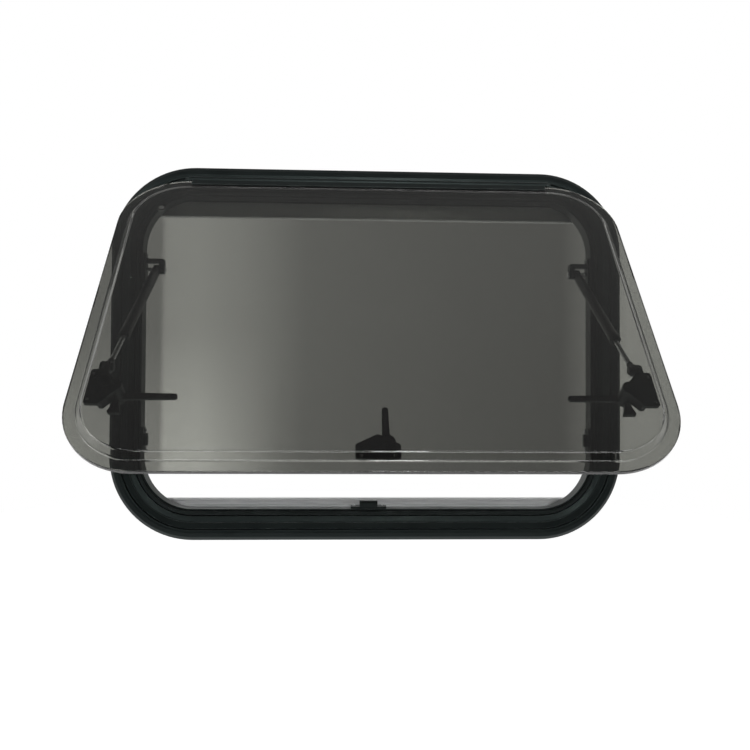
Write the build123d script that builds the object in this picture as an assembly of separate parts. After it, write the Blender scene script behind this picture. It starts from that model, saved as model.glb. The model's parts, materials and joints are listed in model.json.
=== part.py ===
from build123d import *
import os
from math import atan2, cos, degrees, hypot, pi, radians, sin, tan

# Top-hung opening hatch window for a cabin side: a black aluminium frame clamped through the wall,
# a stepped double pane of smoked acrylic hung from a rail, two telescopic stays, three turning
# latches and a cassette with a pleated insect screen and a pleated blind behind the opening.
# Millimetres. X runs along the hinge, +Z is up, the outside is towards -Y. The origin is the centre
# of the wall cut-out, on the wall's outer face. The model stands with its pane open.

# ---- Frame and wall ------------------------------------------------------------------------
FRAME_WIDTH = 758.0
FRAME_HEIGHT = 550.0
FRAME_RADIUS = 122.5
WALL = 14.0                      # thickness of the wall that the frame clamps
GASKET = 2.0                     # thickness under the flange
THROAT_IN = 46.0                 # from the frame's edge to the inside of its throat
THROAT_WALL = 2.0
SCREW_LINE_IN = 36.5             # from the frame's edge to the line of clamp screws
SCREW_PORT = 2.05                # half the width of the slot that the clamp screws bite in

# ---- Hinge and pane ------------------------------------------------------------------------
OPEN_ANGLE = 37.6                # degrees from closed, where the stays reach their stops
HINGE_Y = -14.4
HINGE_Z = 254.3
BEAD_RADIUS = 2.6
HINGE_FIT = 0.06                 # running clearance of the bead in its rail
HINGE_HALF = 260.0               # half the length of the bead
RAIL_HALF = 266.0
SHEET = 3.0                      # thickness of each acrylic sheet
PANE_WIDTH = 702.0
PANE_TOP = 7.0                   # from the hinge axis to the top edge of the sheets
PANE_BOTTOM = 502.6              # from the hinge axis to the bottom edge
PANE_RADIUS = 90.5
MARGIN = 14.0                    # flat bonded margin round the pane
STEP = 7.0                       # how far the outer sheet steps out, at 45 degrees

# ---- Stays ---------------------------------------------------------------------------------
STAY_X = 316.4                   # plane in which each stay swings
STAY_TOP_Y = 8.0
STAY_TOP_Z = 122.5
STAY_DOWN = 350.3                # from the hinge axis down the pane to the lower pivot
STAY_HEIGHT = 15.0               # of the lower pivot over the outer face of the margin
TUBE_RADIUS = 6.75
TUBE_BORE = 5.4
TUBE_END = 198.0                 # from the upper pivot to the end of the tube
ROD_RADIUS = 3.0
EYE_HALF = 3.5                   # half the thickness of the stay's eyes
PIN_RADIUS = 3.0
PIN_FIT = 0.06

# ---- Latches -------------------------------------------------------------------------------
SIDE_LATCH_X = 302.4
SIDE_LATCH_DOWN = 383.7          # from the hinge axis down the pane to the hub
BOTTOM_LATCH_X = 11.4
BOTTOM_LATCH_DOWN = 461.2
SIDE_BASE_SHIFT = 2.4            # how far each base's middle sits from its hub, along the base
BOTTOM_BASE_SHIFT = 10.3
BASE_HALF = 25.2                 # half the length of a latch base
SIDE_HANDLE = 69.5               # hub to tip
BOTTOM_HANDLE = 62.5
SIDE_HOOK = 25.4                 # hub to the end of the hook
BOTTOM_HOOK = 18.8
SPINDLE_RADIUS = 4.0
BUTTON_RADIUS = 4.6              # the button sinks 2.2 into the hub

# ---- Screen cassette -----------------------------------------------------------------------
CASSETTE_HALF = 362.0
CASSETTE_TOP = 244.0
CASSETTE_RADIUS = 28.0
HEAD_MOUTH = 231.0               # open edges of the head and sill boxes
SILL_MOUTH = 225.4
CASSETTE_Y = WALL + 2.5          # front of the cassette, on the clamp ring
CASSETTE_DEPTH = 33.5
RAIL_IN = 344.0                  # inner face of the side rails
SHEET_METAL = 1.8
GROOVE_TOP = 232.0               # ends of the side rails' grooves
SCREEN_Y = CASSETTE_Y + 11.5     # middle of the screen's track
BLIND_Y = CASSETTE_Y + 24.0      # middle of the blind's track
SCREEN_BAR = (205.5, 229.0)      # bottom and top of the screen's pull bar
BLIND_BAR = (-230.5, -219.0)
BAR_HALF = RAIL_IN - 1.5         # half the length of each pull bar

PANE_Y = HINGE_Y - SHEET         # outer face of the closed pane's margin
HINGE_AXIS = (HINGE_Y, HINGE_Z)


# ---- General helpers -----------------------------------------------------------------------
def block(x_limits, y_limits, z_limits):
    """A box between the limits given along each axis."""
    low = Vector(min(x_limits), min(y_limits), min(z_limits))
    high = Vector(max(x_limits), max(y_limits), max(z_limits))
    size = high - low
    middle = (low + high) * 0.5
    return Pos(middle.X, middle.Y, middle.Z) * Box(size.X, size.Y, size.Z)


def pole(radius, start, end):
    """A round bar from one point to another."""
    start = Vector(*start)
    end = Vector(*end)
    plane = Plane(origin=start, z_dir=end - start)
    return extrude(plane * Circle(radius), amount=(end - start).length)


def section(points, rounded=()):
    """A closed outline; rounded lists (corner numbers, radius)."""
    face = make_face(Polyline(*points, close=True))
    for corners, radius in rounded:
        chosen = [face.vertices().sort_by_distance(Vector(*points[n]))[0] for n in corners]
        face = fillet(chosen, radius=radius)
    return face


def ring(width, height, radius, outline):
    """A bar bent round an upright rounded rectangle; the outline is (distance in, y)."""
    path = (Plane.XZ * RectangleRounded(width, height, radius)).wires()[0]
    low = Plane(origin=(0, 0, -height / 2), x_dir=(0, 0, 1), z_dir=(-1, 0, 0))
    return sweep(low * outline, path=path)


def slab(width, height, radius, y_limits):
    """An upright rounded rectangle between two depths."""
    near, far = y_limits
    plane = Plane(origin=(0, far, 0), x_dir=(1, 0, 0), z_dir=(0, -1, 0))
    return extrude(plane * RectangleRounded(width, height, radius), amount=far - near)


def bar_x(outline, half_length):
    """An outline in (y, z) run along X, the same each way from the middle."""
    plane = Plane(origin=(-half_length, 0, 0), x_dir=(0, 1, 0), z_dir=(1, 0, 0))
    return extrude(plane * outline, amount=2 * half_length)


def pan_screw(x, y, z, direction, head, shank, length):
    """A pan-head screw whose head sits on the given point and whose shank follows direction."""
    seat = Vector(x, y, z)
    along = Vector(*direction)
    plane = Plane(origin=seat, z_dir=along * -1)
    cap = extrude(plane * Circle(head), amount=head * 0.62)
    cap = fillet(cap.edges().filter_by(GeomType.CIRCLE).sort_by_distance(seat)[-1], head * 0.4)
    slot = plane * Pos(0, 0, head * 0.62) * Rot(0, 0, 45) * Box(head * 1.1, head * 0.24, head * 0.5)
    cross = plane * Pos(0, 0, head * 0.62) * Rot(0, 0, 135) * Box(head * 1.1, head * 0.24, head * 0.5)
    if length > 0:
        cap += pole(shank, seat, seat + along * length)
    return cap - slot - cross


def mirrored(shape):
    """The same piece on the other side of the middle."""
    return mirror(shape, about=Plane.YZ)


def opened(shape):
    """Turns a piece of the closed pane to the open position."""
    return Pos(0, HINGE_Y, HINGE_Z) * Rot(-OPEN_ANGLE, 0, 0) * Pos(0, -HINGE_Y, -HINGE_Z) * shape


def depth(height):
    """Depth in the closed pane of a point at this height over the margin's outer face."""
    return PANE_Y + height


def down(distance):
    """Level in the closed pane of a point this far below the hinge axis."""
    return HINGE_Z - distance


# ---- Stay geometry -------------------------------------------------------------------------
def lower_pivot(angle):
    """Depth and level of a stay's lower pivot with the pane open by this angle."""
    turn = radians(angle)
    reach = STAY_HEIGHT - SHEET
    y = HINGE_Y - STAY_DOWN * sin(turn) + reach * cos(turn)
    z = HINGE_Z - STAY_DOWN * cos(turn) - reach * sin(turn)
    return y, z


def stay_state(angle):
    """Length of the stay and its tilt from straight down, in degrees."""
    y, z = lower_pivot(angle)
    across = STAY_TOP_Y - y
    drop = STAY_TOP_Z - z
    return hypot(across, drop), degrees(atan2(across, drop))


STAY_OPEN, TILT_OPEN = stay_state(OPEN_ANGLE)
STAY_SHUT, TILT_SHUT = stay_state(0)


def hung(shape):
    """Turns a stay piece, drawn hanging straight down from the origin, to its open position."""
    return Pos(0, STAY_TOP_Y, STAY_TOP_Z) * Rot(-TILT_OPEN, 0, 0) * shape


# ---- Fixed frame ---------------------------------------------------------------------------
def outer_frame():
    """Bent extrusion: flange, gutter, rib, sloped band, seal channel, throat and screw port."""
    port_low = SCREW_LINE_IN - SCREW_PORT
    port_high = SCREW_LINE_IN + SCREW_PORT
    port_wall = 1.5
    port_end = 9.0
    throat_back = THROAT_IN - THROAT_WALL
    points = [
        (0, -GASKET), (0, -4.5), (5, -8.6), (11.5, -11), (16.0, -11), (16.9, -6.5),
        (26, -6.5), (26.6, -9.4), (28.4, -9.4), (35.6, -7.2), (36.4, -3.5), (throat_back, -3.5),
        (throat_back, -7.6), (THROAT_IN, -7.6), (THROAT_IN, WALL), (throat_back, WALL),
        (throat_back, -1.5), (port_high + port_wall, -1.5), (port_high + port_wall, port_end),
        (port_high, port_end), (port_high, -1.5), (port_low, -1.5), (port_low, port_end),
        (port_low - port_wall, port_end), (port_low - port_wall, -5.2), (29, -5.2), (29, 8), (27, 8),
        (27, -GASKET), (13.5, -GASKET), (13.5, -8.4), (6.5, -6.2), (2.4, -4.2), (2.4, -GASKET),
    ]
    rounded = [((1, 2), 1.2), ((3, 4), 1.5), ((7, 8), 0.8), ((12, 13), 0.6), ((5, 6, 9), 0.5)]
    return ring(FRAME_WIDTH, FRAME_HEIGHT, FRAME_RADIUS, section(points, rounded))


def frame_splice():
    """Key plate inside the extrusion, behind the butt joint at the bottom."""
    edge = -FRAME_HEIGHT / 2
    return block((-40, 40), (-4.9, 6), (edge + 29.2, edge + 32.7))


def flange_gasket():
    """Flat foam tape between the flange and the wall."""
    points = [(2.5, -GASKET), (21, -GASKET), (21, 0), (2.5, 0)]
    return ring(FRAME_WIDTH, FRAME_HEIGHT, FRAME_RADIUS, section(points))


def frame_seal():
    """Rubber bulb seal, drawn as the closed pane presses it."""
    crest = PANE_Y + 2 * SHEET + 0.3
    points = [(37.2, -3.5), (37.2, -7.5), (38, crest), (42, crest), (43.4, -8.6), (43.4, -3.5)]
    bulb = section(points, [((2, 3), 1.6), ((1, 4), 1.5)])
    hollow = Pos(40.3, -7.6) * Circle(1.8)
    return ring(FRAME_WIDTH, FRAME_HEIGHT, FRAME_RADIUS, bulb - hollow)


def screw_places():
    """Where the clamp screws go: (x, z) round the screw line."""
    x_line = FRAME_WIDTH / 2 - SCREW_LINE_IN
    z_line = FRAME_HEIGHT / 2 - SCREW_LINE_IN
    places = [(x, side * z_line) for side in (-1, 1) for x in (-220, -75, 75, 220)]
    places += [(side * x_line, z) for side in (-1, 1) for z in (-115, 0, 115)]
    return places


def countersink(x, z, spare):
    """Cone of a countersunk head, flush with the clamp ring's face, enlarged by spare."""
    face = WALL + 2.5
    cone = Cone(2.0 + spare, 4.0 + spare, 2.0, align=(Align.CENTER, Align.CENTER, Align.MAX))
    return Pos(x, face, z) * Rot(-90, 0, 0) * cone


def clamp_ring():
    """Inside ring that the screws pull against the wall."""
    face = WALL + 2.5
    points = [(12, WALL), (THROAT_IN, WALL), (THROAT_IN, face), (13.2, face), (12, face - 1.2)]
    ring_plate = ring(FRAME_WIDTH, FRAME_HEIGHT, FRAME_RADIUS, section(points, [((2,), 0.8)]))
    for x, z in screw_places():
        ring_plate -= pole(2.1, (x, WALL - 1, z), (x, face + 1, z))
        ring_plate -= countersink(x, z, 0.1)
    return ring_plate


def clamp_screws():
    """Flat screws from the ring into the extrusion's port."""
    screws = []
    for x, z in screw_places():
        shank = pole(2.0, (x, 1, z), (x, WALL + 2, z))
        screws.append(shank + countersink(x, z, 0))
    return Compound(children=[screw.solids()[0] for screw in screws])


def along_hinge(angle, reach):
    """A point this far from the hinge axis, turned outwards from straight down."""
    turn = radians(angle)
    return HINGE_Y - reach * sin(turn), HINGE_Z - reach * cos(turn)


def hinge_rail():
    """Rail in the top gutter with an open round socket for the pane's bead."""
    spare = 28                   # degrees of mouth beyond the web's travel, each way
    outer = Pos(*HINGE_AXIS) * Circle(4.6)
    bore = Pos(*HINGE_AXIS) * Circle(BEAD_RADIUS + HINGE_FIT)
    angles = (-spare, 5, OPEN_ANGLE, OPEN_ANGLE + spare)
    mouth = make_face(Polyline(HINGE_AXIS, *[along_hinge(a, 9) for a in angles], close=True))
    stem = section([(-11.2, 252.4), (-7.5, 252.4), (-7.5, 256.2), (-11.2, 256.2)])
    foot = section([(-8.4, 249.7), (-6.5, 249.7), (-6.5, 256.8), (-8.4, 256.8)])
    return bar_x(outer + stem + foot - bore - mouth, RAIL_HALF)


def hinge_end_stops():
    """Plastic blocks that close the rail's ends."""
    points = [(-19, 250.2), (-6.5, 250.2), (-6.5, 255.6), (-10, 257.2), (-19, 257.2)]
    outline = section(points, [((0, 4), 2.5)])
    plug = Pos(RAIL_HALF + 2, 0, 0) * bar_x(outline, 2)
    return Compound(children=[plug.solids()[0], mirrored(plug).solids()[0]])


def hinge_rivets():
    """Blind rivets through the rail's foot."""
    rivets = []
    for x in (-240, -120, 0, 120, 240):
        rivet = pole(1.1, (x, -8.4, 251.0), (x, -9.0, 251.0))
        rivets.append(rivet.solids()[0])
    return Compound(children=rivets)


CATCH_FRONT = -3.9              # behind the heads of the latch screws when the pane is shut
CATCH_SCREW_Y = 9.8
CATCH_SCREW_IN = 5.0             # from the plate's end to its screw


def catch(half_length, rise):
    """Strike drawn on the bottom of the throat: thin plate, nose and two screw holes."""
    floor = -FRAME_HEIGHT / 2 + THROAT_IN
    nose_half = half_length / 2
    plate = block((-half_length, half_length), (CATCH_FRONT, WALL - 0.4), (floor, floor + 2.5))
    plate = fillet(plate.edges().filter_by(Axis.Z), 3)
    profile = [(-4.6, floor + 1), (7.1, floor + 1), (7.1, floor + rise - 1.5), (4, floor + rise),
               (-2.6, floor + rise), (-4.6, floor + rise - 3)]
    nose = bar_x(section(profile, [((2, 3, 4, 5), 0.8)]), nose_half)
    body = plate + nose
    for x in (-half_length + CATCH_SCREW_IN, half_length - CATCH_SCREW_IN):
        body -= pole(1.9, (x, CATCH_SCREW_Y, floor - 1), (x, CATCH_SCREW_Y, floor + 4))
    return body


def catch_screws(half_length):
    """The two screws of a catch on the bottom of the throat."""
    floor = -FRAME_HEIGHT / 2 + THROAT_IN
    screws = []
    for x in (-half_length + CATCH_SCREW_IN, half_length - CATCH_SCREW_IN):
        screws.append(pan_screw(x, CATCH_SCREW_Y, floor + 2.5, (0, 0, -1), 2.9, 1.8, 2.4))
    return screws


def to_right_side(shape, level):
    """Carries a piece from the bottom of the throat to its right side, centred on level."""
    lift = FRAME_HEIGHT / 2 - THROAT_IN
    reach = FRAME_WIDTH / 2 - THROAT_IN
    return Pos(reach, 0, level) * Rot(0, -90, 0) * Pos(0, 0, lift) * shape


CHEEK_OUT = STAY_X - EYE_HALF - 1.0
CHEEK_IN = CHEEK_OUT - 7.3
BRACKET_SCREW_Y = 5.0
BRACKET_SCREW_LEVELS = (STAY_TOP_Z - 17.5, STAY_TOP_Z + 19.5)


def stay_bracket():
    """Right-hand arm on the throat that carries the stay's upper pivot."""
    wall_x = FRAME_WIDTH / 2 - THROAT_IN
    y_mid = STAY_TOP_Y
    z_mid = STAY_TOP_Z
    plate = block((wall_x - 2.5, wall_x), (y_mid - 11, WALL - 0.4), (z_mid - 22, z_mid + 24))
    plate = fillet(plate.edges().filter_by(Axis.X), 4)
    web = block((CHEEK_IN, wall_x - 1), (y_mid - 6, y_mid + 5), (z_mid + 9, z_mid + 15.5))
    arm = block((CHEEK_IN, CHEEK_OUT), (y_mid - 6, y_mid + 5), (z_mid, z_mid + 15.5))
    boss = pole(7, (CHEEK_IN, y_mid, z_mid), (CHEEK_OUT, y_mid, z_mid))
    body = web + arm
    body = fillet(body.edges().filter_by(Axis.Y).group_by(Axis.Z)[-1].sort_by(Axis.X)[:1], 2.5)
    body += plate + boss
    body -= pole(PIN_RADIUS, (CHEEK_IN - 1, y_mid, z_mid), (wall_x - 2.5, y_mid, z_mid))
    for z in BRACKET_SCREW_LEVELS:
        body -= pole(1.9, (wall_x - 4, BRACKET_SCREW_Y, z), (wall_x + 1, BRACKET_SCREW_Y, z))
    return body


def stay_pin():
    """Right-hand pivot pin with a low head."""
    wall_x = FRAME_WIDTH / 2 - THROAT_IN
    shaft = pole(PIN_RADIUS, (CHEEK_IN, STAY_TOP_Y, STAY_TOP_Z), (wall_x - 2.5, STAY_TOP_Y, STAY_TOP_Z))
    cap = pole(4.6, (CHEEK_IN - 1.8, STAY_TOP_Y, STAY_TOP_Z), (CHEEK_IN, STAY_TOP_Y, STAY_TOP_Z))
    return shaft + fillet(cap.edges().sort_by(Axis.X)[0], 0.9)


def stay_bracket_screws():
    """The two screws of the right-hand stay bracket."""
    seat_x = FRAME_WIDTH / 2 - THROAT_IN - 2.5
    return [pan_screw(seat_x, BRACKET_SCREW_Y, z, (1, 0, 0), 3.0, 1.8, 2.4)
            for z in BRACKET_SCREW_LEVELS]


# ---- Stays ---------------------------------------------------------------------------------
def stay_tube():
    """Right-hand tube, crimped to a flat eye at the top."""
    x = STAY_X
    tube = pole(TUBE_RADIUS, (x, 0, -16), (x, 0, -TUBE_END + 10))
    shoulder = Pos(x, 0, -12.5) * extrude(Circle(TUBE_RADIUS), amount=-3.5)
    eye = pole(7, (x - EYE_HALF, 0, 0), (x + EYE_HALF, 0, 0))
    neck = block((x - EYE_HALF, x + EYE_HALF), (-6, 6), (-15, 0))
    body = tube + shoulder + eye + neck
    body -= pole(TUBE_BORE, (x, 0, -20), (x, 0, -TUBE_END))
    return body - pole(PIN_RADIUS + PIN_FIT, (x - 8, 0, 0), (x + 8, 0, 0))


def stay_collar():
    """Plastic sleeve on the end of the tube that guides the rod."""
    x = STAY_X
    sleeve = pole(TUBE_RADIUS + 0.6, (x, 0, -TUBE_END + 10), (x, 0, -TUBE_END - 3))
    sleeve = fillet(sleeve.edges().filter_by(GeomType.CIRCLE).sort_by(Axis.Z)[0], 2)
    return sleeve - pole(ROD_RADIUS + PIN_FIT, (x, 0, -TUBE_END + 20), (x, 0, -TUBE_END - 5))


def stay_rod():
    """Right-hand sliding rod with its stop piston."""
    x = STAY_X
    inner_end = STAY_OPEN - STAY_SHUT
    shaft = pole(ROD_RADIUS, (x, 0, -24 - inner_end), (x, 0, -STAY_OPEN + 9))
    piston = pole(TUBE_BORE - 0.4, (x, 0, -26 - inner_end), (x, 0, -34 - inner_end))
    return shaft + piston


def stay_rod_end():
    """Right-hand moulded eye on the rod."""
    x = STAY_X
    eye = pole(7.4, (x - EYE_HALF, 0, -STAY_OPEN), (x + EYE_HALF, 0, -STAY_OPEN))
    eye = fillet(eye.edges().filter_by(GeomType.CIRCLE), 1.5)
    neck = pole(4.2, (x, 0, -STAY_OPEN + 5.6), (x, 0, -STAY_OPEN + 15))
    neck = fillet(neck.edges().filter_by(GeomType.CIRCLE).sort_by(Axis.Z)[-1], 1.2)
    rim = block((x - EYE_HALF, x + EYE_HALF), (-4.2, 4.2), (-STAY_OPEN, -STAY_OPEN + 7))
    return eye + neck + rim - pole(ROD_RADIUS, (x, 0, -STAY_OPEN + 9), (x, 0, -STAY_OPEN + 20))


def stay_pivot_cap():
    """Right-hand screw cap on the rod's eye."""
    inner = STAY_X - EYE_HALF
    cap = pole(5.2, (inner - 3, 0, -STAY_OPEN), (inner, 0, -STAY_OPEN))
    cap = fillet(cap.edges().filter_by(GeomType.CIRCLE).sort_by(Axis.X)[0], 1.2)
    slot = Pos(inner - 3, 0, -STAY_OPEN) * Box(1.6, 7, 1.2)
    return cap - slot


# ---- Pane ----------------------------------------------------------------------------------
PANE_HEIGHT = PANE_BOTTOM - PANE_TOP
PANE_MIDDLE = down((PANE_TOP + PANE_BOTTOM) / 2)


def outer_pane():
    """Smoked outer sheet: flat margin, sloped step and raised field."""
    bend = SHEET * tan(pi / 8)   # shift of the inside face of a 45 degree bend
    foot = MARGIN + STEP
    field = foot + 5
    points = [
        (0, depth(0)), (MARGIN, depth(0)), (foot, depth(-STEP)), (field, depth(-STEP)),
        (field, depth(SHEET - STEP)), (foot + bend, depth(SHEET - STEP)),
        (MARGIN + bend, depth(SHEET)), (0, depth(SHEET)),
    ]
    rounded = [((1,), 2.5), ((2,), 4.5), ((5,), 1.5), ((6,), 5.5), ((0,), 1.0)]
    rim = ring(PANE_WIDTH, PANE_HEIGHT, PANE_RADIUS, section(points, rounded))
    middle = slab(PANE_WIDTH - 2 * field, PANE_HEIGHT - 2 * field, PANE_RADIUS - field,
                  (depth(-STEP), depth(SHEET - STEP)))
    return Pos(0, 0, PANE_MIDDLE) * (rim + middle)


PLUG_PLACE = (-296.0, 66.0)      # x and distance down the pane
PLUG_RADIUS = 4.0


def inner_pane():
    """Flat smoked inner sheet with the hole for its breather plug."""
    bond = 0.15                  # glue line between the sheets' margins
    sheet = slab(PANE_WIDTH, PANE_HEIGHT, PANE_RADIUS, (depth(SHEET + bond), depth(2 * SHEET)))
    sheet = chamfer(sheet.edges().group_by(Axis.Y)[-1], 0.8)
    x, distance = PLUG_PLACE
    hole = pole(PLUG_RADIUS, (x, depth(0), down(distance) - PANE_MIDDLE),
                (x, depth(8), down(distance) - PANE_MIDDLE))
    return Pos(0, 0, PANE_MIDDLE) * (sheet - hole)


def breather_plug():
    """Clear plug with a thin flange, pushed into the inner sheet."""
    x, distance = PLUG_PLACE
    z = down(distance)
    stem = pole(PLUG_RADIUS - 0.1, (x, depth(SHEET + 0.4), z), (x, depth(2 * SHEET), z))
    flange = pole(6, (x, depth(2 * SHEET), z), (x, depth(2 * SHEET + 1.2), z))
    return stem + fillet(flange.edges().sort_by(Axis.Y)[-1], 0.6)


def pane_hinge_profile():
    """Bead, web and channel that grips the top edge of the sheets."""
    half_web = 1.0
    leg = 1.5
    top = PANE_TOP - 1.8
    end = PANE_TOP + 8
    front = depth(0)
    back = depth(2 * SHEET)
    bead = Pos(*HINGE_AXIS) * Circle(BEAD_RADIUS)
    web = section([(HINGE_Y - half_web, down(1)), (HINGE_Y + half_web, down(1)),
                   (HINGE_Y + half_web, down(top + 1)), (HINGE_Y - half_web, down(top + 1))])
    channel = section([
        (front - leg, down(top)), (back + leg, down(top)), (back + leg, down(end)), (back, down(end)),
        (back, down(PANE_TOP)), (front, down(PANE_TOP)), (front, down(end)), (front - leg, down(end)),
    ], [((0, 1), 1.0), ((2, 7), 0.5)])
    return bar_x(bead + web + channel, HINGE_HALF)


# ---- Latches -------------------------------------------------------------------------------
# Drawn with the hub at the origin, X along the base, Y towards the middle of the pane and Z the
# height over the outer face of the pane's margin.
BASE_LOW = 2 * SHEET
FLANGE_TOP = BASE_LOW + 5
HOUSING_TOP = 25.0
LEVER_LOW = HOUSING_TOP + 0.3
HUB_TOP = 34.3
BUTTON_LOW = 31.5
BUTTON_TOP = 37.0


def house(half, low, shoulder, peak, shift):
    """Outline of a latch base: a straight foot, two sides and a low gable."""
    points = [(shift - half, low), (shift + half, low), (shift + half, shoulder), (shift, peak),
              (shift - half, shoulder)]
    return section(points, [((0, 1), 3.5), ((2, 4), 3), ((3,), 5)])


SIDE_BASE = (SIDE_BASE_SHIFT, -29.4, -12.0, 8.0)        # shift, foot, shoulder and peak
BOTTOM_BASE = (BOTTOM_BASE_SHIFT, -21.3, -4.0, 10.0)


def base_screw_places(base):
    """Where a base's two screws go."""
    shift, foot = base[:2]
    return [(shift - 18.5, foot + 3.9), (shift + 18.5, foot + 3.9)]


def latch_base(base):
    """Flanged base with a raised housing round the spindle bore."""
    shift, foot, shoulder, peak = base
    plan = house(BASE_HALF, foot, shoulder, peak, shift)
    flange = Pos(0, 0, BASE_LOW) * extrude(plan, FLANGE_TOP - BASE_LOW)
    flange = fillet(flange.edges().group_by(Axis.Z)[-1], 1.2)
    plan = house(BASE_HALF - 5, foot + 10.5, shoulder + 1, peak - 2.5, shift)
    body = Pos(0, 0, FLANGE_TOP - 1) * extrude(plan, HOUSING_TOP - FLANGE_TOP + 1, taper=5)
    body = fillet(body.edges().group_by(Axis.Z)[-1], 1.5)
    tower = Pos(0, 0, BASE_LOW) * extrude(Circle(9.2), HOUSING_TOP - BASE_LOW)
    bore = Pos(0, 0, 13) * extrude(Circle(SPINDLE_RADIUS + PIN_FIT), HOUSING_TOP)
    solid = flange + body + tower - bore
    for x, y in base_screw_places(base):
        solid -= Pos(x, y, BASE_LOW - 1) * extrude(Circle(2.1), 8)
    return solid


def latch_screws(base):
    """The two screws through the base's flange."""
    places = base_screw_places(base)
    return [pan_screw(x, y, FLANGE_TOP, (0, 0, -1), 3.2, 2.0, 4.9) for x, y in places]


def latch_handle(length, reach):
    """Turning handle: hub, slim finger lever, hook and spindle."""
    hub = Pos(0, 0, LEVER_LOW) * extrude(Circle(9.2), HUB_TOP - LEVER_LOW)
    hub = fillet(hub.edges().filter_by(GeomType.CIRCLE).sort_by(Axis.Z)[-1], 1.5)
    finger = section([(-4.9, 0), (-3.7, length), (3.7, length), (4.9, 0)], [((1, 2), 3.5)])
    finger = Pos(0, 0, LEVER_LOW + 1.9) * extrude(finger, 4.0)
    finger = fillet(finger.edges().group_by(Axis.Z)[-1], 1.1)
    hook_points = [(0, -4.2), (reach - 11.4, -4.2), (reach - 5.4, -6.2), (reach - 1.5, -7.8),
                   (reach, -7), (reach, 7), (reach - 1.5, 7.8), (reach - 5.4, 6.2),
                   (reach - 11.4, 4.2), (0, 4.2)]
    hook = Pos(0, 0, LEVER_LOW) * extrude(section(hook_points, [((1, 8), 4), ((3, 6), 0.8)]), 5.2)
    hook = chamfer(hook.edges().group_by(Axis.Z)[0].sort_by(Axis.X)[-1:], 1.2)
    spindle = Pos(0, 0, 13.4) * extrude(Circle(SPINDLE_RADIUS), LEVER_LOW - 13)
    well = Pos(0, 0, 29) * extrude(Circle(BUTTON_RADIUS + 0.3), 10)
    return hub + finger + hook + spindle - well


def latch_button():
    """Push button in the hub."""
    button = Pos(0, 0, BUTTON_LOW) * extrude(Circle(BUTTON_RADIUS), BUTTON_TOP - BUTTON_LOW)
    return fillet(button.edges().filter_by(GeomType.CIRCLE).sort_by(Axis.Z)[-1], 1.3)


def to_pane(x, distance, middle_way):
    """Place of a latch: its hub, and the way from it to the middle of the pane."""
    origin = (x, PANE_Y, down(distance))
    along = Vector(*middle_way).cross(Vector(0, 1, 0))
    return Plane(origin=origin, x_dir=along, z_dir=(0, 1, 0)).location


def stay_lug():
    """Right-hand lug of the side latch base, standing beside the rod's eye."""
    near = STAY_X + EYE_HALF + 1.1
    far = near + 3
    z_mid = down(STAY_DOWN)
    web = block((near, far), (depth(BASE_LOW), depth(STAY_HEIGHT)), (down(STAY_DOWN + 22), z_mid))
    tip = pole(7, (near, depth(STAY_HEIGHT), z_mid), (far, depth(STAY_HEIGHT), z_mid))
    pin = pole(4, (far, depth(STAY_HEIGHT), z_mid), (far + 2.2, depth(STAY_HEIGHT), z_mid))
    return web + tip + pin


RIGHT_LATCH = to_pane(SIDE_LATCH_X, SIDE_LATCH_DOWN, (-1, 0, 0))
BOTTOM_LATCH = to_pane(BOTTOM_LATCH_X, BOTTOM_LATCH_DOWN, (0, 0, 1))


# ---- Screen cassette -----------------------------------------------------------------------
def cassette_outline():
    """Rounded block that the cassette's housing stays inside."""
    limits = (CASSETTE_Y, CASSETTE_Y + CASSETTE_DEPTH)
    return slab(2 * CASSETTE_HALF, 2 * CASSETTE_TOP, CASSETTE_RADIUS, limits)


def head_box(mouth):
    """Head box, open downwards to the given level."""
    near = CASSETTE_Y
    far = CASSETTE_Y + CASSETTE_DEPTH
    t = SHEET_METAL
    top = CASSETTE_TOP
    points = [(near, mouth), (near, top), (far, top), (far, mouth), (far - t, mouth), (far - t, top - t),
              (near + t, top - t), (near + t, mouth)]
    return bar_x(section(points, [((1, 2), 1.5)]), RAIL_IN) & cassette_outline()


def sill_box():
    """A deeper head box, turned over about the middle of the cassette."""
    middle = CASSETTE_Y + CASSETTE_DEPTH / 2
    return Pos(0, middle, 0) * Rot(180, 0, 0) * Pos(0, -middle, 0) * head_box(SILL_MOUTH)


def side_rail():
    """Right-hand rail with a groove for each pull bar."""
    near = CASSETTE_Y
    far = CASSETTE_Y + CASSETTE_DEPTH
    rail = block((RAIL_IN, CASSETTE_HALF), (near, far), (-CASSETTE_TOP, CASSETTE_TOP))
    rail = fillet(rail.edges().filter_by(Axis.Z).sort_by(Axis.X)[-2:], 1.5) & cassette_outline()
    for y in (SCREEN_Y, BLIND_Y):
        rail -= block((RAIL_IN - 1, RAIL_IN + 11), (y - 4.2, y + 4.2), (-GROOVE_TOP, GROOVE_TOP))
    return rail


def cassette_screws():
    """Screws at the corners of the side rails."""
    screws = []
    for x in (-CASSETTE_HALF + 5, CASSETTE_HALF - 5):
        for z in (-212.0, 0.0, 212.0):
            screws += pan_screw(x, CASSETTE_Y + CASSETTE_DEPTH, z, (0, -1, 0), 3.0, 1.5, 0).solids()
    return Compound(children=screws)


def pull_bar(y, limits, grip_low):
    """Slim anodised pull bar with a rounded grip rib along one edge."""
    low, high = limits
    points = [(y - 4.6, low), (y + 4.6, low), (y + 4.6, high), (y - 4.6, high)]
    body = bar_x(section(points, [((0, 1, 2, 3), 1.2)]), BAR_HALF)
    rib_z = low + 2.4 if grip_low else high - 2.4
    rib = section([(y - 5.6, rib_z - 1.6), (y, rib_z - 1.6), (y, rib_z + 1.6), (y - 5.6, rib_z + 1.6)],
                  [((0, 3), 0.7)])
    return body + bar_x(rib, BAR_HALF)


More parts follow.
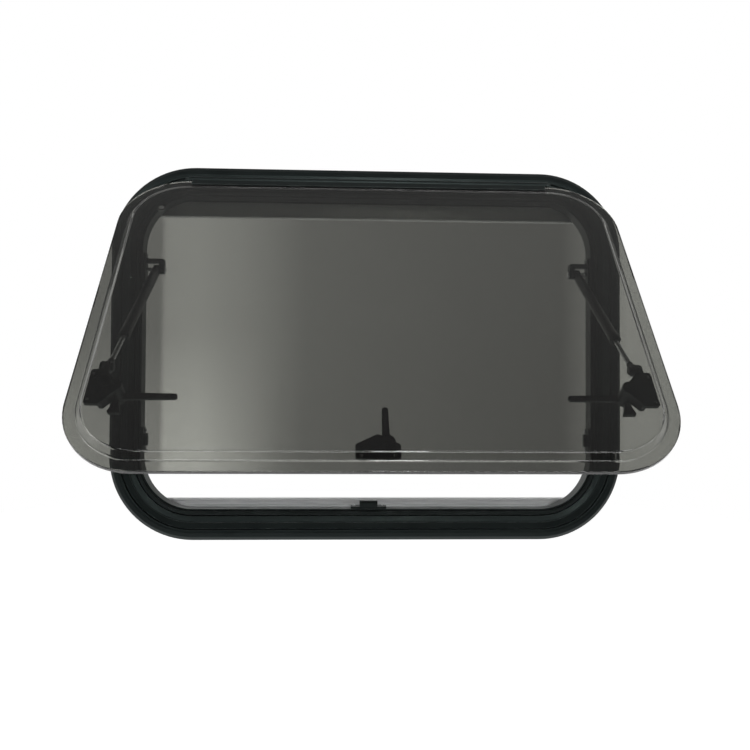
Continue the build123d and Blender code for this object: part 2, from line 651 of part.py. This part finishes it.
def bar_shoes(y, limits):
    """Plastic shoes on the bar's ends, running in the rails."""
    low, high = limits
    shoe = block((BAR_HALF, RAIL_IN + 9.5), (y - 3.8, y + 3.8), (low + 1.5, high - 1.5))
    shoe = fillet(shoe.edges().filter_by(Axis.X), 1.2)
    return Compound(children=[shoe.solids()[0], mirrored(shoe).solids()[0]])


def pleat_pack(y, limits):
    """Outer shape of a folded pleat pack."""
    return block((-RAIL_IN + 4, RAIL_IN - 4), (y - 5.5, y + 5.5), limits)


# ---- Assembly ------------------------------------------------------------------------------
def group(shapes):
    """Several separate solids as one node."""
    return Compound(children=[solid for shape in shapes for solid in shape.solids()])


SIDE_CATCH_HALF = 18.0
BOTTOM_CATCH_HALF = 26.5
SIDE_CATCH_Z = down(SIDE_LATCH_DOWN)
pieces = {
    "outer_frame": outer_frame(),
    "frame_splice": frame_splice(),
    "flange_gasket": flange_gasket(),
    "frame_seal": frame_seal(),
    "clamp_ring": clamp_ring(),
    "clamp_screws": clamp_screws(),
    "hinge_rail": hinge_rail(),
    "hinge_rail_end_stops": hinge_end_stops(),
    "hinge_rail_rivets": hinge_rivets(),
    "outer_pane": opened(outer_pane()),
    "inner_pane": opened(inner_pane()),
    "breather_plug": opened(breather_plug()),
    "pane_hinge_profile": opened(pane_hinge_profile()),
    "cassette_head": head_box(HEAD_MOUTH),
    "cassette_sill": sill_box(),
    "cassette_screws": cassette_screws(),
    "screen_pull_bar": pull_bar(SCREEN_Y, SCREEN_BAR, True),
    "screen_bar_shoes": bar_shoes(SCREEN_Y, SCREEN_BAR),
    "screen_pleats": pleat_pack(SCREEN_Y, (SCREEN_BAR[1] + 0.3, CASSETTE_TOP - 2.3)),
    "blind_pull_bar": pull_bar(BLIND_Y, BLIND_BAR, False),
    "blind_bar_shoes": bar_shoes(BLIND_Y, BLIND_BAR),
    "blind_pleats": pleat_pack(BLIND_Y, (-CASSETTE_TOP + 2.3, BLIND_BAR[0] - 0.3)),
}

side_catch = to_right_side(catch(SIDE_CATCH_HALF, 8.5), SIDE_CATCH_Z)
side_catch_screws = [to_right_side(screw, SIDE_CATCH_Z) for screw in catch_screws(SIDE_CATCH_HALF)]
pieces["catch_right"] = side_catch
pieces["catch_left"] = mirrored(side_catch)
pieces["catch_bottom"] = Pos(BOTTOM_LATCH_X - BOTTOM_BASE_SHIFT, 0, 0) * catch(BOTTOM_CATCH_HALF, 11)
bottom_screws = [Pos(BOTTOM_LATCH_X - BOTTOM_BASE_SHIFT, 0, 0) * s for s in catch_screws(BOTTOM_CATCH_HALF)]
pieces["catch_screws"] = group(side_catch_screws + [mirrored(s) for s in side_catch_screws] + bottom_screws)

right_hand = {
    "cassette_side_rail": side_rail(),
    "stay_bracket": stay_bracket(),
    "stay_bracket_pin": stay_pin(),
    "stay_tube": hung(stay_tube()),
    "stay_tube_collar": hung(stay_collar()),
    "stay_rod": hung(stay_rod()),
    "stay_rod_end": hung(stay_rod_end()),
    "stay_pivot_cap": hung(stay_pivot_cap()),
    "latch_base": opened(RIGHT_LATCH * latch_base(SIDE_BASE) + stay_lug()),
    "latch_handle": opened(RIGHT_LATCH * latch_handle(SIDE_HANDLE, SIDE_HOOK)),
    "latch_button": opened(RIGHT_LATCH * latch_button()),
}
for name, shape in right_hand.items():
    pieces[name + "_right"] = shape
    pieces[name + "_left"] = mirrored(shape)

bracket_screws = stay_bracket_screws()
side_latch_screws = [opened(RIGHT_LATCH * screw) for screw in latch_screws(SIDE_BASE)]
bottom_latch_screws = [opened(BOTTOM_LATCH * screw) for screw in latch_screws(BOTTOM_BASE)]
pieces["stay_bracket_screws"] = group(bracket_screws + [mirrored(s) for s in bracket_screws])
pieces["latch_base_bottom"] = opened(BOTTOM_LATCH * latch_base(BOTTOM_BASE))
pieces["latch_handle_bottom"] = opened(BOTTOM_LATCH * latch_handle(BOTTOM_HANDLE, BOTTOM_HOOK))
pieces["latch_button_bottom"] = opened(BOTTOM_LATCH * latch_button())
pieces["latch_screws"] = group(side_latch_screws + [mirrored(s) for s in side_latch_screws]
                               + bottom_latch_screws)

os.makedirs("parts", exist_ok=True)
for name, shape in pieces.items():
    export_step(shape, "parts/" + name + ".step")

print("stay length open", round(STAY_OPEN, 3), "shut", round(STAY_SHUT, 3))
print("stay tilt open", round(TILT_OPEN, 3), "shut", round(TILT_SHUT, 3))
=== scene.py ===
import json
from math import cos, pi, radians, sin

import bpy
from mathutils import Matrix, Vector


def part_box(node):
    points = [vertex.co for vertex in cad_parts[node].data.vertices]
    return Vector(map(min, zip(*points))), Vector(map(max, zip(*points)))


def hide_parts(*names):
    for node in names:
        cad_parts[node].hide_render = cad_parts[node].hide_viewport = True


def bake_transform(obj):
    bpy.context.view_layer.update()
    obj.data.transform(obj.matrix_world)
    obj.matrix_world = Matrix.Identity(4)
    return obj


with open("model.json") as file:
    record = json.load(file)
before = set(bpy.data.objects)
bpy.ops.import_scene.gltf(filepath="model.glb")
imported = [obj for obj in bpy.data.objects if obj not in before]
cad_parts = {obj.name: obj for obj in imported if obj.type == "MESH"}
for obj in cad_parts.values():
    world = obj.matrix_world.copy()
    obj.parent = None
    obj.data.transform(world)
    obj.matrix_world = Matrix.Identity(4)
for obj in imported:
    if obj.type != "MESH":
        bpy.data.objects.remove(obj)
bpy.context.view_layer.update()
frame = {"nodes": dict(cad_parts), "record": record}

# An opening hatch window with its smoked double pane propped open, in metres: X runs along the
# hinge, +Z is up and the outside is towards -Y.
nodes = frame["nodes"]
CAMERA_PLACE = Vector((-0.0382, -1.1370, -0.0598))
CAMERA_YAW = radians(2.414)
CAMERA_PITCH = radians(1.461)
CAMERA_ROLL = radians(0.329)
CAMERA_LENS = 36.54                  # millimetres, on a 36 mm sensor
FLOOR_LEVEL = -0.95
FLOOR_RADIUS = 3.2
FLOOR_MIDDLE = 2.7                   # how far behind the window the floor's centre lies
FLOOR_SIDES = 96
DARK_SHEEN = (0.80, 1.0, 0.97, 1.0)  # the cool tinge of light off the black pieces
WAVE_RATE = 20.0                     # radians that a wave texture of scale 1 turns in a metre
PLEATS = 44                          # folds in each sheet
PLEAT_COLUMNS = 25                   # points across each sheet
PACK_CLEARANCE = 0.0003              # between the folds and the faces of their pack
CREST_DEPTH = 0.96                   # of the points beside a crest, as a share of the crest's own
CREST_RISE = 0.12                    # from a crest to those points, as a share of a fold

# The room that only reflections and the pane see. Across its far wall, and from straight down to
# straight up, each entry is (share of the way, brightness).
WALL_LEVELS = [
    (0.0, 0.8), (0.11, 0.75), (0.18, 0.55), (0.2640, 0.55), (0.2670, 1.02), (0.31, 1.07),
    (0.37, 0.86), (0.45, 0.50), (0.54, 0.43), (0.66, 0.36), (0.79, 0.31), (0.84, 0.60),
    (0.88, 0.95), (1.0, 0.9),
]
HEIGHT_LEVELS = [(0.0, 0.40), (0.35, 0.45), (0.5, 0.70), (0.72, 0.42), (1.0, 0.26)]
WALL_BLUE = 0.985                    # the wall's blue, as a share of its red and green


# ---- Material building ---------------------------------------------------------------------
class Finish:
    """A material under construction: one Principled shader and the nodes that feed it."""

    def __init__(self, name, colour, metallic=0.0, roughness=0.5):
        self.material = bpy.data.materials.new(name)
        self.material.use_nodes = True
        self.tree = self.material.node_tree
        self.tree.nodes.clear()
        self.shader = self.tree.nodes.new("ShaderNodeBsdfPrincipled")
        output = self.tree.nodes.new("ShaderNodeOutputMaterial")
        self.tree.links.new(self.shader.outputs["BSDF"], output.inputs["Surface"])
        self.place = self.tree.nodes.new("ShaderNodeTexCoord").outputs["Object"]
        self.set("Base Color", (*colour, 1.0))
        self.set("Metallic", metallic)
        self.set("Roughness", roughness)

    def set(self, name, value):
        self.shader.inputs[name].default_value = value

    def feed(self, name, output):
        self.tree.links.new(output, self.shader.inputs[name])

    def node(self, kind, **inputs):
        """A node whose inputs are numbers, colours or other nodes' outputs."""
        made = self.tree.nodes.new(kind)
        for name, value in inputs.items():
            socket = made.inputs[name.replace("_", " ")]
            if isinstance(value, bpy.types.NodeSocket):
                self.tree.links.new(value, socket)
            else:
                socket.default_value = value
        return made

    def stretched(self, stretch):
        """The piece's own coordinates, stretched along each axis."""
        return self.node("ShaderNodeMapping", Vector=self.place, Scale=stretch).outputs["Vector"]

    def grain(self, scale, detail=3.0, stretch=(1, 1, 1)):
        """Noise with this many features in a metre."""
        made = self.node("ShaderNodeTexNoise", Vector=self.stretched(stretch), Scale=scale,
                         Detail=detail)
        return made.outputs["Fac"]

    def cells(self, scale):
        """Distance to the nearest of scattered points, this many in a metre."""
        return self.node("ShaderNodeTexVoronoi", Vector=self.place, Scale=scale).outputs["Distance"]

    def between(self, value, low, high, start=0.3, end=0.7):
        """Carries a value from start and end to low and high."""
        made = self.node("ShaderNodeMapRange", Value=value, From_Min=start, From_Max=end,
                         To_Min=low, To_Max=high)
        return made.outputs["Result"]

    def mixed(self, factor, first, second):
        """A colour between two colours."""
        made = self.tree.nodes.new("ShaderNodeMix")
        made.data_type = "RGBA"
        self.tree.links.new(factor, made.inputs["Factor"])
        made.inputs["A"].default_value = (*first, 1.0)
        made.inputs["B"].default_value = (*second, 1.0)
        return made.outputs["Result"]

    def blended(self, factor, first, second):
        """A linked colour blended into a fixed one by a linked factor."""
        made = self.tree.nodes.new("ShaderNodeMix")
        made.data_type = "RGBA"
        self.tree.links.new(factor, made.inputs["Factor"])
        self.tree.links.new(first, made.inputs["A"])
        made.inputs["B"].default_value = (*second, 1.0)
        return made.outputs["Result"]

    def relief(self, *layers):
        """Bumps the surface: each layer is (height, strength, depth in metres)."""
        normal = None
        for height, strength, distance in layers:
            made = self.node("ShaderNodeBump", Height=height, Strength=strength, Distance=distance)
            if normal is not None:
                self.tree.links.new(normal, made.inputs["Normal"])
            normal = made.outputs["Normal"]
        self.feed("Normal", normal)

    def rims(self, radius):
        """1 on the piece's corners and edges, 0 on its flats."""
        bevel = self.tree.nodes.new("ShaderNodeBevel")
        bevel.samples = 4
        bevel.inputs["Radius"].default_value = radius
        flat = self.tree.nodes.new("ShaderNodeNewGeometry")
        product = self.tree.nodes.new("ShaderNodeVectorMath")
        product.operation = "DOT_PRODUCT"
        self.tree.links.new(bevel.outputs["Normal"], product.inputs[0])
        self.tree.links.new(flat.outputs["Normal"], product.inputs[1])
        return self.between(product.outputs["Value"], 1.0, 0.0, start=0.86, end=0.99)


def coated(name, dark, light, roughness, peel=520.0, edge_wear_and_highlight=(0.17, 0.185, 0.183)):
    """Satin coat on metal: faint mottling, orange peel and lightened edges, part rubbed wear and part
    painted highlight.
    """
    finish = Finish(name, dark)
    colour = finish.mixed(finish.between(finish.grain(14.0, 4.0), 0.0, 1.0), dark, light)
    # Edges and corners lightened towards a pale grey in noise patches: part rubbed wear, part painted
    # highlight along the crests.
    rubbed_and_highlit = finish.node("ShaderNodeMath", Value=finish.rims(0.0010))
    rubbed_and_highlit.operation = "MULTIPLY"
    finish.tree.links.new(finish.between(finish.grain(60.0, 5.0), 0.45, 1.0, 0.38, 0.62),
                          rubbed_and_highlit.inputs[1])
    finish.feed("Base Color", finish.blended(rubbed_and_highlit.outputs["Value"], colour, edge_wear_and_highlight))
    finish.set("Specular IOR Level", 0.27)
    finish.set("Specular Tint", DARK_SHEEN)
    finish.feed("Roughness", finish.between(finish.grain(35.0, 6.0), roughness - 0.05, roughness + 0.07))
    finish.relief((finish.grain(peel, 2.0), 0.10, 0.00008), (finish.grain(2600.0, 1.0), 0.03, 0.00002))
    return finish.material


def moulded(name, dark, light, roughness, texture=1500.0):
    """Moulded plastic with a spark-eroded texture and shiny worn spots."""
    finish = Finish(name, dark)
    finish.set("Specular IOR Level", 0.30)
    finish.set("Specular Tint", DARK_SHEEN)
    finish.feed("Base Color", finish.mixed(finish.between(finish.grain(28.0, 5.0), 0.0, 1.0), dark, light))
    finish.feed("Roughness", finish.between(finish.grain(48.0, 6.0), roughness - 0.07, roughness + 0.08))
    finish.relief((finish.grain(texture, 3.0), 0.32, 0.00010), (finish.grain(90.0, 2.0), 0.05, 0.0004))
    return finish.material


def brushed(name, dark, light, roughness, stretch, scratches=1800.0, metallic=1.0):
    """Metal with fine scratches along its length; stretch is short along that axis."""
    finish = Finish(name, dark, metallic)
    lines = finish.grain(scratches, 4.0, stretch)
    finish.feed("Base Color", finish.mixed(finish.between(lines, 0.0, 1.0, 0.35, 0.65), dark, light))
    finish.feed("Roughness", finish.between(lines, roughness - 0.06, roughness + 0.10, 0.3, 0.7))
    finish.relief((lines, 0.10, 0.00004), (finish.grain(22.0, 3.0), 0.04, 0.0003))
    return finish.material


def rubber(name, colour, pores=1400.0, roughness=0.62):
    """Matt rubber or closed-cell foam with pores and dusty patches."""
    finish = Finish(name, colour, roughness=roughness)
    finish.set("Specular IOR Level", 0.25)
    finish.set("Specular Tint", DARK_SHEEN)
    dusty = tuple(channel * 2.4 for channel in colour)
    finish.feed("Base Color", finish.mixed(finish.between(finish.grain(40.0, 6.0), 0.0, 1.0, 0.45, 0.75),
                                           colour, dusty))
    finish.feed("Roughness", finish.between(finish.grain(70.0, 4.0), roughness - 0.08, roughness + 0.10))
    finish.relief((finish.cells(pores), 0.25, 0.00010), (finish.grain(300.0, 3.0), 0.12, 0.00020))
    return finish.material


def acrylic(name, tint, roughness):
    """Polished smoked acrylic: clear through its thickness, very slightly wavy and hazed."""
    finish = Finish(name, tint)
    finish.set("Transmission Weight", 1.0)
    finish.set("IOR", 1.49)
    haze = finish.grain(9.0, 5.0)
    finish.feed("Roughness", finish.between(haze, roughness, roughness + 0.004, 0.35, 0.75))
    finish.feed("Base Color", finish.mixed(finish.between(finish.grain(3.0, 2.0), 0.0, 1.0), tint,
                                           tuple(channel * 1.03 for channel in tint)))
    finish.relief((finish.grain(9.0, 1.0), 0.02, 0.0006))
    return finish.material


def cloth(name, colour, shade, thread, see_through):
    """Woven cloth with this far from thread to thread; see_through is how open the weave is."""
    finish = Finish(name, colour, roughness=0.85)
    threads = []
    for direction in ("X", "Z"):
        wave = finish.node("ShaderNodeTexWave", Vector=finish.place,
                           Scale=2 * pi / WAVE_RATE / thread, Detail=1.0, Distortion=0.4)
        wave.bands_direction = direction
        threads.append(wave.outputs["Fac"])
    weave = finish.node("ShaderNodeMath", Value=threads[0])
    weave.operation = "MAXIMUM"
    finish.tree.links.new(threads[1], weave.inputs[1])
    finish.feed("Base Color", finish.mixed(finish.between(weave.outputs["Value"], 0.0, 1.0, 0.1, 0.9),
                                           shade, colour))
    finish.set("Sheen Weight", 0.15)
    finish.set("Sheen Roughness", 0.5)
    finish.relief((weave.outputs["Value"], 0.35, 0.00015), (finish.grain(120.0, 3.0), 0.15, 0.0003))
    if see_through > 0:
        finish.feed("Alpha", finish.between(weave.outputs["Value"], 1.0 - see_through, 1.0, 0.45, 0.85))
    return finish.material


ALONG_X = (0.02, 1, 1)
ALONG_Z = (1, 1, 0.02)
ALONG_STAY = (1, 0.05, 0.08)
looks = {
    "frame_black": coated("frame_black", (0.0050, 0.0066, 0.0066), (0.0080, 0.0102, 0.0100), 0.34),
    "mill_aluminium": brushed("mill_aluminium", (0.62, 0.63, 0.64), (0.75, 0.76, 0.77), 0.35, ALONG_X),
    "gasket_foam": rubber("gasket_foam", (0.018, 0.018, 0.019), 900.0, 0.8),
    "seal_rubber": rubber("seal_rubber", (0.008, 0.009, 0.009)),
    "smoked_acrylic": acrylic("smoked_acrylic", (0.45, 0.453, 0.433), 0.0),
    "clear_plastic": moulded("clear_plastic", (0.55, 0.56, 0.55), (0.66, 0.67, 0.66), 0.3),
    "steel": brushed("steel", (0.46, 0.47, 0.48), (0.62, 0.63, 0.64), 0.28, ALONG_STAY),
    "tube_aluminium": brushed("tube_aluminium", (0.020, 0.022, 0.023), (0.035, 0.037, 0.038), 0.32,
                              ALONG_STAY, metallic=0.6),
    "silver_anodised": brushed("silver_anodised", (0.70, 0.71, 0.715), (0.84, 0.85, 0.85), 0.36, ALONG_X,
                               metallic=0.4),
    "cassette_grey": brushed("cassette_grey", (0.42, 0.43, 0.43), (0.52, 0.53, 0.53), 0.38, ALONG_X),
    "black_plastic": moulded("black_plastic", (0.0085, 0.0095, 0.0095), (0.015, 0.0165, 0.016), 0.42),
    "screen_mesh": cloth("screen_mesh", (0.06, 0.06, 0.062), (0.02, 0.02, 0.02), 0.0016, 0.75),
    "blind_fabric": cloth("blind_fabric", (0.62, 0.62, 0.60), (0.42, 0.42, 0.41), 0.0010, 0.0),
}


def dress(piece, look):
    """Gives a mesh one material."""
    piece.data.materials.clear()
    piece.data.materials.append(looks[look])


for subpart in frame["record"]["subparts"]:
    dress(nodes[subpart["node"]], subpart["material_slot"])


# ---- Pleated screen and blind --------------------------------------------------------------
def pleats(name, pack, look):
    """A folded sheet in its stored pack, one end on the cassette and the other on its pull bar."""
    low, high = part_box(pack)
    reach = (high.y - low.y) / 2 - PACK_CLEARANCE
    middle = (low.y + high.y) / 2
    points = [(middle, low.z)]
    step = (high.z - low.z) / PLEATS
    for fold in range(PLEATS):
        side = reach if fold % 2 else -reach
        level = low.z + (fold + 0.5) * step
        points.append((middle + side * CREST_DEPTH, level - step * CREST_RISE))
        points.append((middle + side, level))
        points.append((middle + side * CREST_DEPTH, level + step * CREST_RISE))
    points.append((middle, high.z))
    vertices = []
    for y, z in points:
        for column in range(PLEAT_COLUMNS):
            vertices.append((low.x + (high.x - low.x) * column / (PLEAT_COLUMNS - 1), y, z))
    faces = []
    for row in range(len(points) - 1):
        for column in range(PLEAT_COLUMNS - 1):
            corner = row * PLEAT_COLUMNS + column
            above = corner + PLEAT_COLUMNS
            faces.append((corner, corner + 1, above + 1, above))
    mesh = bpy.data.meshes.new(name)
    mesh.from_pydata(vertices, [], faces)
    piece = bpy.data.objects.new(name, mesh)
    bpy.context.scene.collection.objects.link(piece)
    dress(piece, look)
    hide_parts(pack)
    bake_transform(piece)
    return piece


pleats("screen_sheet", "screen_pleats", "screen_mesh")
pleats("blind_sheet", "blind_pleats", "blind_fabric")


# ---- Studio --------------------------------------------------------------------------------
def floor():
    """Large pale floor well below the window, reaching away behind it."""
    mesh = bpy.data.meshes.new("studio_floor")
    rim = []
    for n in range(FLOOR_SIDES):
        turn = 2 * pi * n / FLOOR_SIDES
        rim.append((FLOOR_RADIUS * cos(turn), FLOOR_MIDDLE + FLOOR_RADIUS * sin(turn), FLOOR_LEVEL))
    mesh.from_pydata(rim, [], [tuple(range(FLOOR_SIDES))])
    piece = bpy.data.objects.new("studio_floor", mesh)
    bpy.context.scene.collection.objects.link(piece)
    finish = Finish("studio_floor", (0.9, 0.9, 0.9), roughness=0.9)
    finish.feed("Roughness", finish.between(finish.grain(3.0), 0.85, 0.95))
    finish.set("Emission Color", (1.0, 1.0, 1.0, 1.0))
    finish.set("Emission Strength", 0.72)
    mesh.materials.append(finish.material)


def softbox(name, place, target, width, height, radiance):
    """A rectangular light of this radiance, facing a point."""
    data = bpy.data.lights.new(name, "AREA")
    data.shape = "RECTANGLE"
    data.size = width
    data.size_y = height
    data.energy = radiance * pi * width * height
    light = bpy.data.objects.new(name, data)
    light.location = place
    light.rotation_euler = (Vector(target) - Vector(place)).to_track_quat("-Z", "Y").to_euler()
    bpy.context.scene.collection.objects.link(light)


def grade(ramp, levels, blue=1.0):
    """Sets a ramp's stops to greys from (position, brightness), their blue scaled by blue."""
    ramp.elements[0].position = levels[0][0]
    ramp.elements[1].position = levels[-1][0]
    for position, _ in levels[1:-1]:
        ramp.elements.new(position)
    for element, (position, level) in zip(ramp.elements, levels):
        element.position = position
        element.color = (level, level, level * blue, 1.0)


def surroundings():
    """White backdrop, with an unevenly lit room for everything but the direct view."""
    world = bpy.data.worlds.new("studio")
    bpy.context.scene.world = world
    world.use_nodes = True
    tree = world.node_tree
    tree.nodes.clear()

    def add(kind, operation=None, **inputs):
        """A node whose inputs go by name, or by number as n0, n1 and n2."""
        made = tree.nodes.new(kind)
        if operation:
            made.operation = operation
        for name, value in inputs.items():
            numbered = name[0] == "n" and name[1:].isdigit()
            socket = made.inputs[int(name[1:]) if numbered else name]
            if isinstance(value, bpy.types.NodeSocket):
                tree.links.new(value, socket)
            else:
                socket.default_value = value
        return made

    direction = add("ShaderNodeTexCoord").outputs["Generated"]
    split = add("ShaderNodeSeparateXYZ", Vector=direction)
    ahead = add("ShaderNodeMath", "MAXIMUM", n0=split.outputs["Y"], n1=0.05).outputs["Value"]
    across = add("ShaderNodeMath", "DIVIDE", n0=split.outputs["X"], n1=ahead).outputs["Value"]
    share = add("ShaderNodeMath", "ADD", n0=across, n1=0.5).outputs["Value"]
    wall = add("ShaderNodeValToRGB", Fac=share)
    rise = add("ShaderNodeMath", "DIVIDE", n0=split.outputs["Z"], n1=ahead).outputs["Value"]
    low_glow = add("ShaderNodeMapRange", Value=rise, **{
        "From Min": -0.09, "From Max": 0.08, "To Min": 0.62, "To Max": 0.0}).outputs["Result"]
    left_side = add("ShaderNodeMapRange", Value=share, **{
        "From Min": 0.32, "From Max": 0.42, "To Min": 1.0, "To Max": 0.0}).outputs["Result"]
    glow = add("ShaderNodeMath", "MULTIPLY_ADD", n0=low_glow, n1=left_side, n2=1.0).outputs["Value"]
    grade(wall.color_ramp, WALL_LEVELS, WALL_BLUE)
    height = add("ShaderNodeValToRGB",
                 Fac=add("ShaderNodeMapRange", Value=split.outputs["Z"], **{
                     "From Min": -1.0, "From Max": 1.0}).outputs["Result"])
    grade(height.color_ramp, HEIGHT_LEVELS)
    facing = add("ShaderNodeMapRange", Value=split.outputs["Y"], **{
        "From Min": 0.55, "From Max": 0.80}).outputs["Result"]
    room = tree.nodes.new("ShaderNodeMix")
    room.data_type = "RGBA"
    tree.links.new(facing, room.inputs["Factor"])
    tree.links.new(height.outputs["Color"], room.inputs["A"])
    tree.links.new(wall.outputs["Color"], room.inputs["B"])
    dim_front = add("ShaderNodeMapRange", Value=split.outputs["Y"], **{
        "From Min": -0.75, "From Max": 0.0, "To Min": 0.22, "To Max": 1.0}).outputs["Result"]
    strength = add("ShaderNodeMath", "MULTIPLY", n0=dim_front, n1=glow).outputs["Value"]
    lit = add("ShaderNodeBackground", Color=room.outputs["Result"], Strength=strength)
    white = add("ShaderNodeBackground", Color=(1.0, 1.0, 1.0, 1.0), Strength=1.0)
    seen = add("ShaderNodeLightPath").outputs["Is Camera Ray"]
    choice = add("ShaderNodeMixShader", Fac=seen)
    tree.links.new(lit.outputs["Background"], choice.inputs[1])
    tree.links.new(white.outputs["Background"], choice.inputs[2])
    output = add("ShaderNodeOutputWorld")
    tree.links.new(choice.outputs["Shader"], output.inputs["Surface"])


def camera():
    """Camera in front of the window, with its small turn, tilt and roll."""
    ahead = Vector((sin(CAMERA_YAW) * cos(CAMERA_PITCH), cos(CAMERA_YAW) * cos(CAMERA_PITCH),
                    sin(CAMERA_PITCH)))
    level = Vector((cos(CAMERA_YAW), -sin(CAMERA_YAW), 0))
    upright = level.cross(ahead)
    right = cos(CAMERA_ROLL) * level + sin(CAMERA_ROLL) * upright
    up = cos(CAMERA_ROLL) * upright - sin(CAMERA_ROLL) * level
    data = bpy.data.cameras.new("camera")
    data.lens = CAMERA_LENS
    data.sensor_width = 36.0
    data.clip_start = 0.01
    piece = bpy.data.objects.new("camera", data)
    turn = Matrix((right, up, -ahead)).transposed().to_4x4()
    piece.matrix_world = Matrix.Translation(CAMERA_PLACE) @ turn
    bpy.context.scene.collection.objects.link(piece)
    bpy.context.scene.camera = piece


floor()
surroundings()
softbox("key", (-1.9, -1.7, 1.5), (0, 0, 0), 1.0, 1.0, 3.0)
softbox("fill", (2.1, -1.8, 1.2), (0, 0, 0), 0.9, 0.9, 1.8)
softbox("overhead", (0.1, -1.7, 1.35), (0, 0, 0), 2.4, 0.35, 3.0)
softbox("spot", (0.13, -1.55, 0.55), (0.03, -0.3, -0.15), 0.16, 0.50, 15.0)
softbox("low", (0.1, -1.62, 0.11), (0, 0, -0.22), 1.6, 0.32, 4.4)
softbox("back", (0.3, 1.6, 2.2), (0, 0, 0), 2.0, 0.8, 1.8)
camera()
bpy.context.scene.view_settings.view_transform = "Standard"
